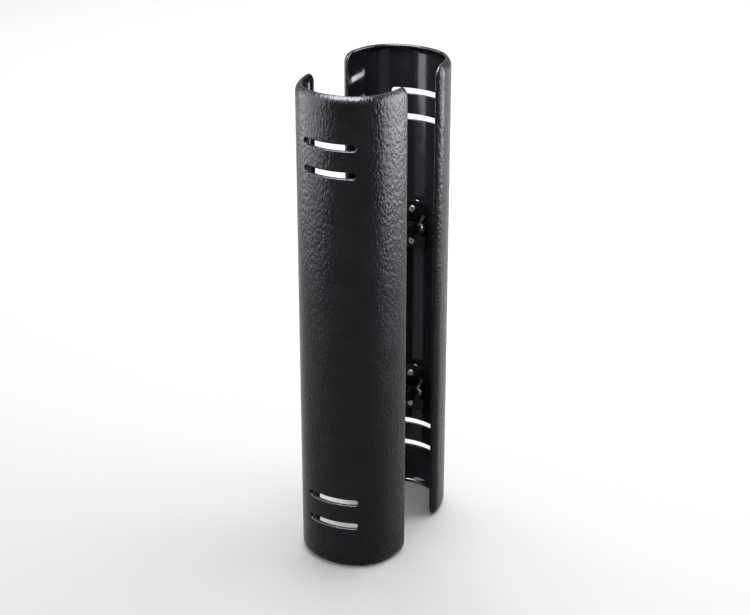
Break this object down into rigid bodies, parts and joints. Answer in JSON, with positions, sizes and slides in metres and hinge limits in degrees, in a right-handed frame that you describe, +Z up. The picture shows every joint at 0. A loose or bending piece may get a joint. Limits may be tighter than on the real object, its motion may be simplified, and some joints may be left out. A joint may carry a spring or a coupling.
{
  "type": "boot shaper",
  "caption": "Free-standing boot shaper: curved half shells with ventilation slots and rounded edges, spread by a sprung toggle linkage that folds as the shells are squeezed together.",
  "frame": {"origin": "midway between the shells, on the surface that their bottom edges stand on, with the shells fully spread", "axes": "+Z up along the shells; -Y towards the shell that sits behind the shin, +Y towards the one behind the calf; +X across, along the hinge pins"},
  "size_m": [0.0804, 0.145, 0.37],
  "materials": {
    "shell_plastic": "fine leather grain outside, smooth gloss inside",
    "linkage_plastic": "satin moulded nylon",
    "pin_steel": "bright zinc plate",
    "spring_steel": "drawn wire",
    "screw_steel": "zinc plate"
  },
  "bodies": {
    "front": {"front_shell": "shell_plastic", "front_upper_bracket": "linkage_plastic", "front_lower_bracket": "linkage_plastic", "front_bracket_screws": "screw_steel", "front_upper_hinge_pin": "pin_steel", "front_lower_hinge_pin": "pin_steel", "front_hinge_clips": "pin_steel"},
    "upper_front_arm": {"upper_front_arm": "linkage_plastic", "upper_knuckle_pin": "pin_steel", "upper_knuckle_clip": "pin_steel", "upper_left_spring": "spring_steel", "upper_right_spring": "spring_steel"},
    "upper_rear_arm": {"upper_rear_arm": "linkage_plastic"},
    "rear": {"rear_shell": "shell_plastic", "rear_upper_bracket": "linkage_plastic", "rear_lower_bracket": "linkage_plastic", "rear_bracket_screws": "screw_steel", "rear_upper_hinge_pin": "pin_steel", "rear_lower_hinge_pin": "pin_steel", "rear_hinge_clips": "pin_steel"},
    "lower_front_arm": {"lower_front_arm": "linkage_plastic", "lower_knuckle_pin": "pin_steel", "lower_knuckle_clip": "pin_steel", "lower_left_spring": "spring_steel", "lower_right_spring": "spring_steel"},
    "lower_rear_arm": {"lower_rear_arm": "linkage_plastic"},
    "link_bar": {"link_bar": "linkage_plastic"}
  },
  "joints": [
    {"name": "upper_front_hinge", "type": "hinge", "parent": "front", "child": "upper_front_arm", "pos_m": [0, -0.058, 0.23], "axis": [1, 0, 0], "range_deg": [0, 42], "stiffness_Nm_per_rad": 0.6, "springref_deg": -34.38},
    {"name": "upper_knuckle", "type": "hinge", "parent": "upper_front_arm", "child": "upper_rear_arm", "pos_m": [0, 0, 0.24023], "axis": [1, 0, 0], "range_deg": [-84, 0], "deforming": ["upper_left_spring", "upper_right_spring"]},
    {"name": "upper_rear_hinge", "type": "hinge", "parent": "upper_rear_arm", "child": "rear", "pos_m": [0, 0.058, 0.23], "axis": [1, 0, 0], "range_deg": [0, 42]},
    {"name": "lower_front_hinge", "type": "hinge", "parent": "front", "child": "lower_front_arm", "pos_m": [0, -0.058, 0.09], "axis": [1, 0, 0], "range_deg": [0, 42]},
    {"name": "lower_knuckle", "type": "hinge", "parent": "lower_front_arm", "child": "lower_rear_arm", "pos_m": [0, 0, 0.10023], "axis": [1, 0, 0], "range_deg": [-84, 0], "deforming": ["lower_left_spring", "lower_right_spring"]},
    {"name": "link_bar_pivot", "type": "hinge", "parent": "upper_front_arm", "child": "link_bar", "pos_m": [0, 0, 0.24023], "axis": [1, 0, 0], "range_deg": [-42, 0]}
  ],
  "couplings": [
    {"joint": "upper_knuckle", "follows": "upper_front_hinge", "ratio": -2},
    {"joint": "upper_rear_hinge", "follows": "upper_front_hinge", "ratio": 1},
    {"joint": "lower_front_hinge", "follows": "upper_front_hinge", "ratio": 1},
    {"joint": "lower_knuckle", "follows": "upper_front_hinge", "ratio": -2},
    {"joint": "link_bar_pivot", "follows": "upper_front_hinge", "ratio": -1}
  ]
}
